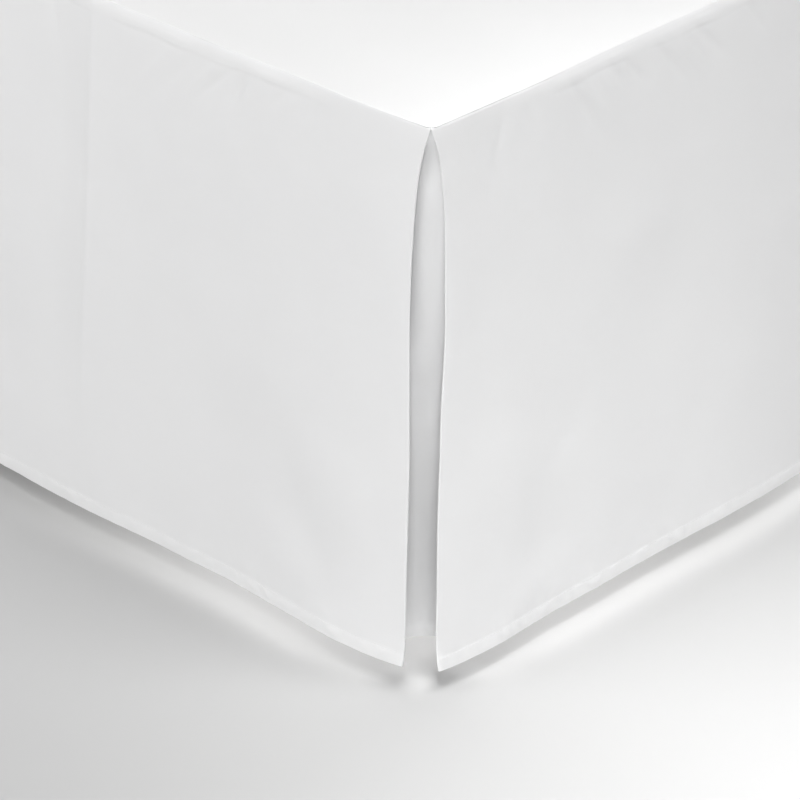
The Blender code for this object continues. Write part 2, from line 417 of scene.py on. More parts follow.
def scattered_patches(seed, start, end):
    dice = np.random.default_rng(seed)
    count = int((end - start) / 0.030)
    return [(dice.uniform(start, end), dice.uniform(0.10, 0.36), dice.uniform(0.022, 0.050),
             dice.uniform(0.022, 0.045), dice.uniform(-0.0009, 0.0009)) for _ in range(count)]


def uneven(seed, along, down, size, height):
    """A low rolling unevenness, from waves in many directions."""
    dice = np.random.default_rng(seed)
    relief = np.zeros_like(along)
    for _ in range(UNEVEN_WAVES):
        heading = dice.uniform(0, math.pi)
        length = size * dice.uniform(0.6, 1.8)
        turn = dice.uniform(0, math.tau)
        run = along * math.cos(heading) + down * math.sin(heading)
        relief += np.sin(math.tau * run / length + turn)
    return relief * height / UNEVEN_WAVES ** 0.5


def hem_puckers(seed, along, down, end):
    """The hem band stands a little proud, and its row of stitches draws it in at uneven places."""
    dice = np.random.default_rng(seed)
    line = down - HEM_LINE
    band = smooth_step(line, -HEM_LINE_WIDTH, HEM_LINE_WIDTH)
    relief = HEM_PROUD * band
    place = 0.0
    while place < end:
        height = dice.uniform(*PUCKER_HEIGHTS)
        width = dice.uniform(*PUCKER_WIDTHS)
        lean = dice.uniform(-0.5, 0.5)
        shape = bell(along - place - lean * line, width)
        in_hem = bell(line - 0.0045, 0.0045)
        over_hem = bell(line + 0.0050, 0.0060)
        relief = relief + height * shape * (in_hem + 0.55 * over_hem)
        place += dice.uniform(*PUCKER_STEPS)
    return relief - HEM_GROOVE * bell(line, HEM_LINE_WIDTH)


def allowance_ridge(seed, along, down):
    """The seam allowance inside the drop shows as a band under the seam, away from the corner."""
    dice = np.random.default_rng(seed)
    turns = dice.uniform(0, math.tau, 5)
    waver = 0.0005 * np.sin(along / 0.0180 + turns[0]) + 0.0004 * np.sin(along / 0.0071 + turns[1])
    broken = 0.55 + 0.45 * np.sin(along / 0.0095 + turns[2]) * np.sin(along / 0.0230 + turns[3])
    strength = smooth_step(along, 0.030, 0.140) * broken
    band = smooth_step(down, 0.0030, 0.0060)
    under_edge = down - waver - ALLOWANCE
    band = band * (1.0 - smooth_step(under_edge, -RIDGE_EDGE, RIDGE_EDGE))
    groove = bell(under_edge - 0.0018, 0.0016)
    return strength * (RIDGE_HEIGHT * band - RIDGE_GROOVE * groove)


def packing_crease(along, down):
    """A faint upright crease, with the cloth beyond it turned a little away."""
    line = along - PACKING_CREASE - CREASE_LEAN * (down / DROP)
    fade = 1.0 - smooth_step(down, *CREASE_ENDS)
    beyond = smooth_step(line, -0.006, 0.030) * (1.0 - smooth_step(line, 0.060, 0.240))
    return (CREASE_OUT * bell(line, CREASE_WIDTH) - CREASE_TURN * beyond) * fade


def corner_relief(kind, corner, along, down):
    """The folds by a foot corner: kind is foot or side, and corner is 1 right or -1 left.

    The left corner mirrors the right one, with the foot's and the side's folds changed over.
    """
    tables = {"foot": (FOOT_DRAGS, FOOT_PATCHES), "side": (SIDE_DRAGS, SIDE_PATCHES)}
    seen_kind = kind if corner > 0 else {"foot": "side", "side": "foot"}[kind]
    drags, patches = tables[seen_kind]
    relief = drag_folds(drags, along, down) + soft_patches(patches, along, down)
    if seen_kind == "foot":
        relief += packing_crease(along, down)
    return relief


def edge_relief(seed, along, down, length, end):
    """What runs the whole length of a drop: hem, unevenness, and scattered folds up to their end."""
    relief = hem_puckers(seed, along, down, length)
    relief += drag_folds(scattered_drags(seed + 1, SCATTER_START, end), along, down)
    relief += soft_patches(scattered_patches(seed + 2, SCATTER_START + 0.03, end), along, down)
    relief += uneven(seed + 3, along, down, 0.045, 0.00010)
    relief += uneven(seed + 4, along, down, 0.016, 0.000025)
    return relief


def mesh_piece(name, points, groups, material):
    """A smooth piece; its faces come in groups, each with one number of sides."""
    sizes = np.concatenate([np.full(len(group), group.shape[1]) for group in groups])
    mesh = bpy.data.meshes.new(name)
    mesh.vertices.add(len(points))
    mesh.vertices.foreach_set("co", np.asarray(points, dtype=np.float32).ravel())
    mesh.loops.add(int(sizes.sum()))
    corners = np.concatenate([group.ravel() for group in groups])
    mesh.loops.foreach_set("vertex_index", corners.astype(np.int32))
    mesh.polygons.add(len(sizes))
    mesh.polygons.foreach_set("loop_start", np.append(0, np.cumsum(sizes)[:-1]).astype(np.int32))
    mesh.update(calc_edges=True)
    mesh.validate()
    mesh.shade_smooth()
    mesh.set_sharp_from_angle(angle=SHARP_ANGLE)
    mesh.materials.append(material)
    piece = bpy.data.objects.new(name, mesh)
    bpy.context.scene.collection.objects.link(piece)
    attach(piece, "root")
    return piece


def surface_normals(points):
    """Unit normals of a grid, towards the side from which its rows run to the right."""
    across = np.gradient(points, axis=1)
    downwards = np.gradient(points, axis=0)
    normals = np.cross(downwards, across)
    return normals / np.linalg.norm(normals, axis=2, keepdims=True)


def grid_faces(rows, columns, offset=0, turned=False):
    index = offset + np.arange(rows * columns).reshape(rows, columns)
    quads = np.stack([index[:-1, :-1], index[1:, :-1], index[1:, 1:], index[:-1, 1:]], axis=-1)
    quads = quads.reshape(-1, 4)
    return quads[:, ::-1] if turned else quads


def rim_faces(rows, columns):
    """Closes the edge between a front grid and the back grid that follows it."""
    front = np.arange(rows * columns).reshape(rows, columns)
    loop = np.concatenate([front[0, :-1], front[:-1, -1], front[-1, :0:-1], front[:0:-1, 0]])
    back = loop + rows * columns
    return np.stack([loop, np.roll(loop, -1), np.roll(back, -1), back], axis=-1)


def cloth_sheet(name, centre, thickness, material):
    """A closed cloth around a grid of centre points; its rows run to the right seen from outside."""
    rows, columns, _ = centre.shape
    shift = surface_normals(centre) * (thickness / 2)
    points = np.concatenate([(centre + shift).reshape(-1, 3), (centre - shift).reshape(-1, 3)])
    front = grid_faces(rows, columns)
    back = grid_faces(rows, columns, rows * columns, turned=True)
    faces = [front, back, rim_faces(rows, columns)]
    return mesh_piece(name, points, faces, material)


def thickness_at(down):
    hem = smooth_step(down, HEM_LINE - 0.0012, HEM_LINE + 0.0012)
    return (CLOTH + (HEM_CLOTH - CLOTH) * hem)[..., None]


def pleat_profile(column):
    """Along and depth of a drop's return, fold and near face, one row for each level down."""
    gap = smooth_read(SLIT, column, DOWNS)[:, None]
    opened = smooth_step(DOWNS, 0.0, FOLD_OPENED)[:, None]
    layer = FOLD_LAYER_TOP + (FOLD_LAYER - FOLD_LAYER_TOP) * opened
    front = CLOTH / 2
    centre = gap + layer / 2 + CLOTH / 2
    shares = np.linspace(1.0, 0.1, 10)[None, :]
    angles = np.linspace(math.pi / 2, math.pi * 1.5, 11)[None, :]
    steps = NEAR_STEPS[None, :]
    along = np.concatenate([centre + RETURN_WIDTH * shares, centre + layer / 2 * np.cos(angles),
                            centre * (1.0 - steps / NEAR_END) + steps], axis=1)
    depth = np.concatenate([front + layer + 0 * shares, front + layer / 2 * (1.0 + np.sin(angles)),
                            front + 0 * centre * steps], axis=1)
    face = smooth_step(along - centre, 0.0015, 0.0090)
    face[:, :shares.shape[1] + angles.shape[1]] = 0.0
    depth = depth + FOLD_EASE * np.exp(-np.maximum(along - centre, 0.0) / FOLD_EASE_WIDTH)
    return along, depth, face


def foot_grid():
    """Centre points of the foot drop, from the left return round to the right one."""
    along, depth, face = pleat_profile(1)
    count = round((BED_WIDTH - 2 * NEAR_END) / FAR_STEP) + 1
    middle = np.linspace(NEAR_END, BED_WIDTH - NEAR_END, count)[1:-1]
    wide = np.ones((len(DOWNS), 1))
    right_end = HALF_WIDTH - along[:, ::-1]
    x = np.concatenate([along - HALF_WIDTH, wide * (middle - HALF_WIDTH), right_end], axis=1)
    depth = np.concatenate([depth, wide * np.full(len(middle), CLOTH / 2), depth[:, ::-1]], axis=1)
    face = np.concatenate([face, wide * np.ones(len(middle)), face[:, ::-1]], axis=1)
    return x, depth, face


def foot_out(x, down, face):
    """How far the foot drop stands out of its plane, with every fold."""
    from_right = HALF_WIDTH - x
    from_left = HALF_WIDTH + x
    nearer = np.minimum(from_right, from_left)
    relief = corner_relief("foot", 1, from_right, down) + corner_relief("foot", -1, from_left, down)
    relief += allowance_ridge(CLOTH_SEED + 5, nearer, down)
    relief += edge_relief(CLOTH_SEED, from_left, down, BED_WIDTH, BED_WIDTH - SCATTER_START - 0.03)
    return foot_hang(x, down) + face * relief


def side_out(side, along, down, face):
    relief = corner_relief("side", side, along, down)
    relief += allowance_ridge(CLOTH_SEED + 8 + side, along, down)
    relief += edge_relief(CLOTH_SEED + 20 + 10 * side, along, down, BED_LENGTH, BED_LENGTH)
    return side_hang(side, along, down) + face * relief


def make_foot_drop(material):
    x, depth, face = foot_grid()
    down = np.broadcast_to(DOWNS[:, None], x.shape)
    y = -HALF_LENGTH + depth - foot_out(x, down, face)
    lift = seam_lift(HALF_WIDTH - np.abs(x), down, 1)
    centre = np.stack([x, y, DECK_TOP - down + lift], axis=-1)
    piece = cloth_sheet("drop_foot_cloth", centre, thickness_at(down), material)
    dress_drop("drop_foot")


def make_side_drop(name, side, material):
    along, depth, face = pleat_profile(2)
    count = round((BED_LENGTH - NEAR_END) / FAR_STEP) + 1
    far = np.linspace(NEAR_END, BED_LENGTH - HEAD_GAP, count)[1:]
    wide = np.ones((len(DOWNS), 1))
    along = np.concatenate([along, wide * far], axis=1)
    depth = np.concatenate([depth, wide * np.full(len(far), CLOTH / 2)], axis=1)
    face = np.concatenate([face, wide * np.ones(len(far))], axis=1)
    down = np.broadcast_to(DOWNS[:, None], along.shape)
    x = side * (HALF_WIDTH - depth + side_out(side, along, down, face))
    lift = seam_lift(along, down, 2)
    centre = np.stack([x, along - HALF_LENGTH, DECK_TOP - down + lift], axis=-1)
    if side < 0:
        centre = centre[:, ::-1]
    piece = cloth_sheet(f"{name}_cloth", centre, thickness_at(down), material)
    dress_drop(name)


def dress_drop(node):
    """Hides the solid that the drop stands for."""
    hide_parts(node)


def cut_corners(path):
    """One round of corner cutting on every row's path, which keeps both ends."""
    starts, ends = path[:, :-1], path[:, 1:]
    cut = np.stack([starts * 0.75 + ends * 0.25, starts * 0.25 + ends * 0.75], axis=2)
    cut = cut.reshape(path.shape[0], -1, 2)
    cut[:, 0], cut[:, -1] = path[:, 0], path[:, -1]
    return cut


def insert_paths():
    """The insert's line in plan at each level, in equal steps: in from the side and from the foot."""
    read = [smooth_read(INSERT_BENDS, column, DOWNS) for column in range(1, 5)]
    behind_foot, behind_side, shoulder, bend = read
    straight = shoulder + 0.015
    in_side = np.stack([straight, shoulder, behind_side + bend, behind_side, behind_side], axis=1)
    in_foot = np.stack([behind_foot, behind_foot, behind_foot + bend, shoulder, straight], axis=1)
    path = np.stack([in_side, in_foot], axis=-1)
    for _ in range(5):
        path = cut_corners(path)
    lengths = np.linalg.norm(np.diff(path, axis=1), axis=2)
    leg = (INSERT_WIDTH - lengths.sum(axis=1)) / 2
    first, last = path[:, :1].copy(), path[:, -1:].copy()
    first[:, 0, 0] += leg
    last[:, 0, 1] += leg
    path = np.concatenate([first, path, last], axis=1)
    even = np.linspace(0.0, 1.0, INSERT_COLUMNS)
    rows = []
    for row in path:
        walked = np.concatenate([[0.0], np.cumsum(np.linalg.norm(np.diff(row, axis=0), axis=1))])
        places = even * walked[-1]
        rows.append(np.column_stack([np.interp(places, walked, row[:, axis]) for axis in (0, 1)]))
    return np.array(rows)


def make_insert(name, side, material):
    path = insert_paths()
    in_side, in_foot = path[..., 0], path[..., 1]
    down = np.broadcast_to(DOWNS[:, None], in_side.shape)
    by_foot = 1.0 - smooth_step(in_foot, *FOLLOWS_DROP)
    by_side = 1.0 - smooth_step(in_side, *FOLLOWS_DROP)
    x = side * (HALF_WIDTH - in_side + by_side * side_hang(side, in_foot, down))
    y = -HALF_LENGTH + in_foot - by_foot * foot_hang(x, down)
    centre = np.stack([x, y, DECK_TOP - down], axis=-1)
    if side < 0:
        centre = centre[:, ::-1]
    run = (in_side - in_foot) / 2 ** 0.5
    relief = hem_puckers(CLOTH_SEED + 50 + side, run + 0.1, down, 0.2)
    rolling = uneven(CLOTH_SEED + 60 + side, run, down, 0.035, 0.00025)
    relief = relief + rolling * smooth_step(down, 0.05, 0.20)
    if side < 0:
        relief = relief[:, ::-1]
    centre = centre + surface_normals(centre) * relief[..., None]
    piece = cloth_sheet(f"{name}_cloth", centre, thickness_at(down), material)
    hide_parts(name)


def deck_stations():
    """Shares of the deck's width and length with a ring's points, dense by the foot corners."""
    near = ((0.090, 0.0013), (0.300, 0.0036))
    half = graded(0.0, *near, (HALF_WIDTH, 0.016))
    across = np.concatenate([half, (BED_WIDTH - half[::-1])[1:]])
    return across / BED_WIDTH, graded(0.0, *near, (BED_LENGTH, 0.016)) / BED_LENGTH


def ring_points(inset):
    """One closed ring of the deck at this inset, counter-clockwise from the left foot corner."""
    across, upwards = deck_stations()
    low = np.array([-HALF_WIDTH + inset, -HALF_LENGTH + inset])
    high = np.array([HALF_WIDTH - inset, HALF_LENGTH - HEAD_GAP - inset])
    foot = np.stack([low[0] + across * (high[0] - low[0]), np.full(len(across), low[1])], axis=-1)
    right = np.stack([np.full(len(upwards), high[0]), low[1] + upwards * (high[1] - low[1])], axis=-1)
    head = foot[::-1] * [1, 0] + [0, high[1]]
    left = right[::-1] * [0, 1] + [low[0], 0]
    ring = np.concatenate([foot[:-1], right[:-1], head[:-1], left[:-1]])
    radius = DECK_CORNER - inset
    if radius > 0:
        corners = ((low[0], low[1]), (high[0], low[1]), (high[0], high[1]), (low[0], high[1]))
        for corner_x, corner_y in corners:
            inward = -np.sign([corner_x, corner_y])
            centre = np.array([corner_x, corner_y]) + inward * radius
            beyond = ((centre - ring) * inward > 0).all(axis=1)
            arm = ring[beyond] - centre
            reach = np.abs(arm).max(axis=1, keepdims=True)
            ring[beyond] = centre + arm / np.linalg.norm(arm, axis=1, keepdims=True) * reach
    return ring


def deck_ring(inset, drop):
    """A ring drawn out and in with the seam, and turned down into the seam's groove."""
    ring = ring_points(inset)
    from_side = HALF_WIDTH - np.abs(ring[:, 0])
    from_foot = ring[:, 1] + HALF_LENGTH
    foot_weight = bell(from_foot - inset, 0.004)
    side_weight = bell(from_side - inset, 0.004)
    seam_fade = math.exp(-inset / 0.060)
    out_x = np.sign(ring[:, 0]) * smooth_read(SEAM_WANDER, 2, from_foot) * side_weight * seam_fade
    out_y = smooth_read(SEAM_WANDER, 1, from_side) * foot_weight * seam_fade
    groove = (foot_weight * smooth_read(SEAM_GROOVE, 1, from_side)
              + side_weight * smooth_read(SEAM_GROOVE, 2, from_foot))
    opened = np.clip(groove / np.maximum(foot_weight + side_weight, 0.3), 0.1, 1.0)
    head = bell(HALF_LENGTH - HEAD_GAP - inset - ring[:, 1], 0.003)
    turned_down = drop * (1.0 - head) * (0.35 + 0.65 * opened)
    x = ring[:, 0] + out_x
    y = ring[:, 1] - out_y
    return np.column_stack([x, y, DECK_FACE - turned_down + deck_relief(x, y, inset)])


def deck_relief(x, y, inset):
    """Small ripples where the seam draws the deck in, and a low unevenness all over."""
    along = np.where(np.abs(x) / HALF_WIDTH > np.abs(y) / HALF_LENGTH, y, x)
    from_corner = HALF_WIDTH - np.abs(x) + y + HALF_LENGTH
    nearby = smooth_step(from_corner, 0.004, 0.014) * (1.0 - smooth_step(from_corner, 0.045, 0.075))
    slant = along - 0.8 * inset
    wave = np.sin(slant / 0.00078 + 1.8 * np.sin(along / 0.0060))
    wave = wave + 0.7 * np.sin(slant / 0.00125 + 1.3)
    ripple = DECK_RIPPLE * (0.12 + nearby) * wave * bell(inset - 0.0045, 0.0035)
    spread = smooth_step(inset, 0.002, 0.040) * (1.0 - smooth_step(inset, 0.500, 0.700))
    return ripple + uneven(CLOTH_SEED + 70, x, y, 0.120, DECK_UNEVEN) * spread


def ring_faces(count, around, offset, turned=False):
    index = offset + np.arange(count * around).reshape(count, around)
    outer, inner = index[:-1], index[1:]
    quads = np.stack([outer, np.roll(outer, -1, axis=1), np.roll(inner, -1, axis=1), inner], axis=-1)
    quads = quads.reshape(-1, 4)
    return quads[:, ::-1] if turned else quads


def make_deck(material):
    """The deck as rings from its rim to its middle, each side closed at one middle point."""
    inner = graded(DECK_RIM[-1][0], (0.014, 0.0013), (0.050, 0.0050), (0.300, 0.0400),
                   (0.740, 0.110))[1:]
    stations = list(DECK_RIM) + [(inset, 0.0) for inset in inner]
    rings = np.array([deck_ring(inset, drop) for inset, drop in stations])
    count, around, _ = rings.shape
    top = rings.reshape(-1, 3)
    under = rings - [0.0, 0.0, CLOTH]
    tucked = np.linspace(CLOTH * 0.6, 0.0, len(DECK_RIM))[:, None, None]
    under[:len(DECK_RIM), :, :2] -= np.sign(rings[:len(DECK_RIM), :, :2]) * tucked
    middle = np.array([[0.0, 0.0, DECK_FACE], [0.0, 0.0, DECK_FACE - CLOTH]])
    points = np.concatenate([top, under.reshape(-1, 3), middle])
    outer = np.arange(around)
    following = np.roll(outer, -1)
    rim = np.stack([outer, outer + len(top), following + len(top), following], axis=-1)
    innermost = (count - 1) * around
    above = np.stack([outer + innermost, following + innermost, np.full(around, 2 * len(top))],
                     axis=-1)
    below = (above + [len(top), len(top), 1])[:, ::-1]
    front = ring_faces(count, around, 0)
    back = ring_faces(count, around, len(top), turned=True)
    faces = [front, back, rim, above, below]
    piece = mesh_piece("deck_cloth", points, faces, material)
    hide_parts("deck")


def stitch_row(name, points, headings, normals, material):
    """A row of short threads, each a six-sided bar with tapered ends, set along its heading."""
    sides = 6
    rings = ((-0.5, 0.35), (-0.34, 1.0), (0.34, 1.0), (0.5, 0.35))
    angles = np.arange(sides) * math.tau / sides
    binormals = np.cross(headings, normals)
    parts = []
    for place, swell in rings:
        for angle in angles:
            outwards = normals * math.cos(angle) + binormals * math.sin(angle)
            offset = headings * place * STITCH_LENGTH + outwards * STITCH_RADIUS * swell
            parts.append(points + offset)
    block = np.stack(parts, axis=1)
    each = len(rings) * sides
    template = []
    for ring in range(len(rings) - 1):
        for side in range(sides):
            following = (side + 1) % sides
            template.append((ring * sides + side, (ring + 1) * sides + side,
                             (ring + 1) * sides + following, ring * sides + following))
    for ring, order in ((0, 1), (len(rings) - 1, -1)):
        cap = [ring * sides + side for side in range(sides)][::order]
        template += [(cap[0], cap[1], cap[2], cap[3]), (cap[0], cap[3], cap[4], cap[5])]
    template = np.array(template)
    faces = (template[None] + (np.arange(len(points)) * each)[:, None, None]).reshape(-1, 4)
    piece = mesh_piece(name, block.reshape(-1, 3), [faces], material)


def stitch_drop(name, place_at, start, end, material):
    """Sews a hem: place_at gives the cloth's front at these places along and down."""
    count = int((end - start) / STITCH_PITCH)
    along = start + (np.arange(count) + 0.5) * STITCH_PITCH
    down = np.full(count, HEM_LINE + STITCH_UNDER)
    points = place_at(along, down)
    heading = place_at(along + 0.0005, down) - place_at(along - 0.0005, down)
    upwards = place_at(along, down - 0.0005) - place_at(along, down + 0.0005)
    heading /= np.linalg.norm(heading, axis=1, keepdims=True)
    normal = np.cross(heading, upwards)
    normal /= np.linalg.norm(normal, axis=1, keepdims=True)
    stitch_row(name, points, heading, normal, material)


def make_stitches(material):
    hem_front = (HEM_CLOTH - CLOTH) / 2

    def on_foot(along, down):
        x = along - HALF_WIDTH
        y = -HALF_LENGTH - foot_out(x, down, 1.0) - hem_front
        return np.column_stack([x, y, DECK_TOP - down])

    def on_side(side):
        def place(along, down):
            x = side * (HALF_WIDTH + side_out(side, along, down, 1.0) + hem_front)
            return np.column_stack([x, along - HALF_LENGTH, DECK_TOP - down])
        return place

    stitch_drop("stitches_foot", on_foot, FOOT_STITCHES_IN, BED_WIDTH - FOOT_STITCHES_IN, material)
    for name, side in (("stitches_right", 1), ("stitches_left", -1)):
        stitch_drop(name, on_side(side), SIDE_STITCHES_IN, BED_LENGTH - HEAD_STITCHES_IN, material)


class Nodes:
    """Short calls for making a material's nodes."""

    def __init__(self, name, roughness, sheen=0.0):
        self.material = bpy.data.materials.new(name)
        self.material.use_nodes = True
        self.tree = self.material.node_tree
        self.shader = self.tree.nodes["Principled BSDF"]
        self.shader.inputs["Roughness"].default_value = roughness
        self.shader.inputs["Sheen Weight"].default_value = sheen
        self.shader.inputs["Sheen Roughness"].default_value = 0.5
        self.shader.inputs["Specular IOR Level"].default_value = 0.25
        self.place = self.node("ShaderNodeTexCoord").outputs["Object"]

    def node(self, kind, **settings):
        made = self.tree.nodes.new(kind)
        for setting, value in settings.items():
            setattr(made, setting, value)
        return made

    def link(self, source, target):
        self.tree.links.new(source, target)

    def math(self, operation, first, second=None, clamp=False):
        made = self.node("ShaderNodeMath", operation=operation, use_clamp=clamp)
        for socket, value in zip(made.inputs, (first, second)):
            if isinstance(value, (int, float)):
                socket.default_value = value
            elif value is not None:
                self.link(value, socket)
        return made.outputs[0]

    def stretched(self, x, y, z):
        mapping = self.node("ShaderNodeMapping")
        mapping.inputs["Scale"].default_value = (x, y, z)
        self.link(self.place, mapping.inputs["Vector"])
        return mapping.outputs["Vector"]

    def noise(self, vector, scale, detail=2.0, roughness=0.5):
        made = self.node("ShaderNodeTexNoise")
        made.inputs["Scale"].default_value = scale
        made.inputs["Detail"].default_value = detail
        made.inputs["Roughness"].default_value = roughness
        self.link(vector, made.inputs["Vector"])
        return made.outputs["Fac"]

    def ramp(self, source, *stops):
        made = self.node("ShaderNodeValToRGB")
        elements = made.color_ramp.elements
        while len(elements) < len(stops):
            elements.new(0.5)
        for element, (position, colour) in zip(elements, stops):
            element.position = position
            element.color = (*colour, 1.0)
        self.link(source, made.inputs["Fac"])
        return made.outputs["Color"]

    def mix(self, share, first, second):
        made = self.node("ShaderNodeMix", data_type="RGBA")
        sockets = (made.inputs[0], made.inputs[6], made.inputs[7])
        for socket, value in zip(sockets, (share, first, second)):
            if isinstance(value, tuple):
                socket.default_value = (*value, 1.0)
            elif isinstance(value, (int, float)):
                socket.default_value = value
            else:
                self.link(value, socket)
        return made.outputs[2]

    def colour(self, source):
        self.link(source, self.shader.inputs["Base Color"])

    def bump(self, height, distance, strength=1.0):
        made = self.node("ShaderNodeBump")
        made.inputs["Distance"].default_value = distance
        made.inputs["Strength"].default_value = strength
        self.link(height, made.inputs["Height"])
        self.link(made.outputs["Normal"], self.shader.inputs["Normal"])


def plain_weave(nodes, first, second, pitch):
    """Threads over and under each other, from two distances along the cloth."""
    warp = nodes.math("SINE", nodes.math("MULTIPLY", first, math.tau / pitch))
    weft = nodes.math("SINE", nodes.math("MULTIPLY", second, math.tau / pitch))
    return nodes.math("MULTIPLY", warp, weft)


def drop_cloth_material(name, painted_shade_amount):
    """White percale, with upright and level threads and a double band at the hem.

    The second argument is how strongly painted shade greys the cloth high in the pleat, fading out
    under the seam.
    """
    nodes = Nodes(name, 0.88, sheen=0.12)
    parts = nodes.node("ShaderNodeSeparateXYZ")
    nodes.link(nodes.place, parts.inputs[0])
    level = parts.outputs["Z"]
    level_run = nodes.math("ADD", parts.outputs["X"], parts.outputs["Y"])
    weave = plain_weave(nodes, level_run, level, 0.0011)
    weft_slubs = nodes.noise(nodes.stretched(18.0, 18.0, 2600.0), 1.0, detail=1.5)
    warp_slubs = nodes.noise(nodes.stretched(2200.0, 2200.0, 14.0), 1.0, detail=1.5)
    slubs = nodes.math("ADD", weft_slubs, nodes.math("MULTIPLY", warp_slubs, 0.6))
    blotches = nodes.noise(nodes.place, 9.0, detail=3.0)
    tone = nodes.ramp(blotches, (0.30, DROP_SHADE), (0.70, DROP_WHITE))
    tone = nodes.mix(nodes.math("MULTIPLY", weft_slubs, 0.10), tone, DROP_THREAD_SHADE)
    hem_top = DECK_TOP - DROP + HEM_DEPTH
    hem = nodes.math("MULTIPLY", nodes.math("SUBTRACT", hem_top, level), 700.0, clamp=True)
    tone = nodes.mix(nodes.math("MULTIPLY", hem, 0.35), tone, DROP_DOUBLE)
    # Painted shade: from 0.19 m up, fading out under the seam, the colour is greyed towards the
    # painted insert shade
    over_low_part = nodes.math("MULTIPLY", nodes.math("SUBTRACT", level, 0.19), 14.0, clamp=True)
    under_seam = nodes.math("MULTIPLY", nodes.math("SUBTRACT", DECK_TOP, level), 16.0, clamp=True)
    painted_shade_share = nodes.math("MULTIPLY", nodes.math("MINIMUM", over_low_part, under_seam), painted_shade_amount)
    nodes.colour(nodes.mix(painted_shade_share, tone, PAINTED_INSERT_SHADE))
    height = nodes.math("ADD", nodes.math("MULTIPLY", weave, 0.35), slubs)
    nodes.bump(height, 0.00007, 0.55)
    return nodes.material


def deck_cloth_material():
    """Plain white weave, with painted shade where the rim turns down into the open seam."""
    nodes = Nodes("deck_plain_weave", 0.9, sheen=0.10)
    parts = nodes.node("ShaderNodeSeparateXYZ")
    nodes.link(nodes.place, parts.inputs[0])
    weave = plain_weave(nodes, parts.outputs["X"], parts.outputs["Y"], 0.0012)
    slubs = nodes.noise(nodes.stretched(30.0, 2000.0, 30.0), 1.0, detail=1.5)
    blotches = nodes.noise(nodes.place, 5.0, detail=3.0)
    tone = nodes.ramp(blotches, (0.30, DECK_SHADE), (0.70, DECK_WHITE))
    # Painted shade: where the deck lies more than half a millimetre below its top, in the rim turned
    # down into the seam, its colour darkens
    under_top = nodes.math("SUBTRACT", DECK_TOP - 0.0005, parts.outputs["Z"])
    groove = nodes.math("MULTIPLY", under_top, 2500.0, clamp=True)
    nodes.colour(nodes.mix(nodes.math("MULTIPLY", groove, 0.50), tone, PAINTED_SEAM_SHADE))
    nodes.bump(nodes.math("ADD", nodes.math("MULTIPLY", weave, 0.35), slubs), 0.00007, 0.5)
    return nodes.material


def base_material():
    """Pale ticking: a close weave with slubs, its tone varying in blotches."""
    nodes = Nodes("base_ticking_weave", 0.92, sheen=0.1)
    parts = nodes.node("ShaderNodeSeparateXYZ")
    nodes.link(nodes.place, parts.inputs[0])
    run = nodes.math("ADD", parts.outputs["X"], parts.outputs["Y"])
    weave = plain_weave(nodes, run, parts.outputs["Z"], 0.0016)
    slubs = nodes.noise(nodes.stretched(40.0, 40.0, 1400.0), 1.0)
    blotches = nodes.noise(nodes.place, 7.0, detail=4.0)
    nodes.colour(nodes.ramp(blotches, (0.30, (0.60, 0.585, 0.56)), (0.70, (0.68, 0.665, 0.64))))
    nodes.bump(nodes.math("ADD", nodes.math("MULTIPLY", weave, 0.5), slubs), 0.00012, 0.6)
    return nodes.material


def leg_material():
    """Turned wood with upright grain."""
    nodes = Nodes("leg_wood_grain", 0.45)
    grain = nodes.noise(nodes.stretched(90.0, 90.0, 5.0), 1.0, detail=6.0, roughness=0.6)
    pores = nodes.noise(nodes.stretched(900.0, 900.0, 30.0), 1.0, detail=2.0)
    tone = nodes.ramp(grain, (0.30, (0.11, 0.060, 0.032)), (0.55, (0.20, 0.115, 0.062)),
                      (0.75, (0.27, 0.165, 0.095)))
    nodes.colour(nodes.mix(nodes.math("MULTIPLY", pores, 0.3), tone, (0.10, 0.055, 0.03)))
    nodes.bump(nodes.math("ADD", grain, pores), 0.0002, 0.4)
    return nodes.material


def thread_material():
    nodes = Nodes("sewing_thread", 0.6, sheen=0.2)
    twist = nodes.noise(nodes.stretched(3000.0, 3000.0, 900.0), 1.0)
    nodes.colour(nodes.ramp(twist, (0.30, (0.64, 0.64, 0.635)), (0.70, (0.72, 0.72, 0.715))))
    nodes.bump(twist, 0.00005, 0.5)
    return nodes.material


def finish_node(node, material):
    """Gives a carried-over solid its finish."""
    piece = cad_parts[node]
    for slot in piece.material_slots:
        slot.material = material


def dress_bed():
    drop_cloth = drop_cloth_material("drop_percale", 0.0)
    # The inserts get painted shade high in the pleat; the drops get none
    insert_cloth = drop_cloth_material("insert_percale", 0.4)
    make_deck(deck_cloth_material())
    make_foot_drop(drop_cloth)
    for side_name, side in (("left", -1), ("right", 1)):
        make_side_drop(f"drop_{side_name}", side, drop_cloth)
        make_insert(f"insert_{side_name}", side, insert_cloth)
    make_stitches(thread_material())
    finish_node("base", base_material())
    wood = leg_material()
    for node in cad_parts:
        if node.startswith("leg_"):
            finish_node(node, wood)


# The camera, fitted to the seams and hems in the photograph
PICTURE = 800
FOCAL_PIXELS = 4251.0
SENSOR_MM = 36.0
CAMERA_AZIMUTH = math.radians(43.71)
CAMERA_PITCH = math.radians(28.66)
CORNER_DISTANCE = 2.4745
CORNER_PIXEL = (430.08, 129.47)


def camera_axes():
    level = math.cos(CAMERA_PITCH)
    right = np.array([math.cos(CAMERA_AZIMUTH), math.sin(CAMERA_AZIMUTH), 0.0])
    back = np.array([right[1] * level, -right[0] * level, math.sin(CAMERA_PITCH)])
    return right, np.cross(back, right), back


def set_pose(piece, right, up, back, place):
    matrix = np.eye(4)
    matrix[:3] = np.column_stack([right, up, back, place])
    piece.matrix_world = Matrix(matrix.tolist())
    bpy.context.scene.collection.objects.link(piece)


